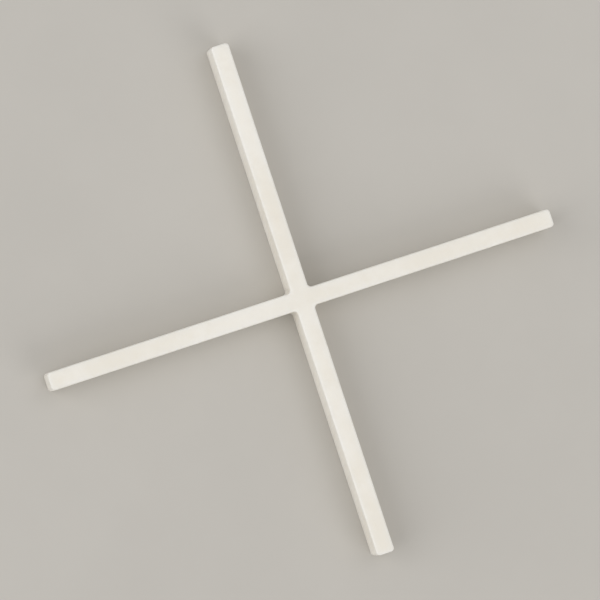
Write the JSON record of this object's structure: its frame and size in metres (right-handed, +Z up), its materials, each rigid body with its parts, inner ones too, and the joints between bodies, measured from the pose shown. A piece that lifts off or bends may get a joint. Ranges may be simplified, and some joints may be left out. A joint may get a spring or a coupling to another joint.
{
  "type": "tile spacer",
  "caption": "Slim moulded plastic cross with equal straight arms that keeps the joints even where the corners of tiles meet.",
  "frame": {"origin": "middle of the cross, on the underside that it lies on", "axes": "+Z up through the depth of the cross, +X and +Y along two of its arms"},
  "size_m": [0.028, 0.028, 0.002],
  "materials": {
    "white_plastic": "satin off-white polyethylene, very slightly see-through at its edges"
  },
  "bodies": {
    "root": {"tile_spacer": "white_plastic"}
  },
  "joints": []
}
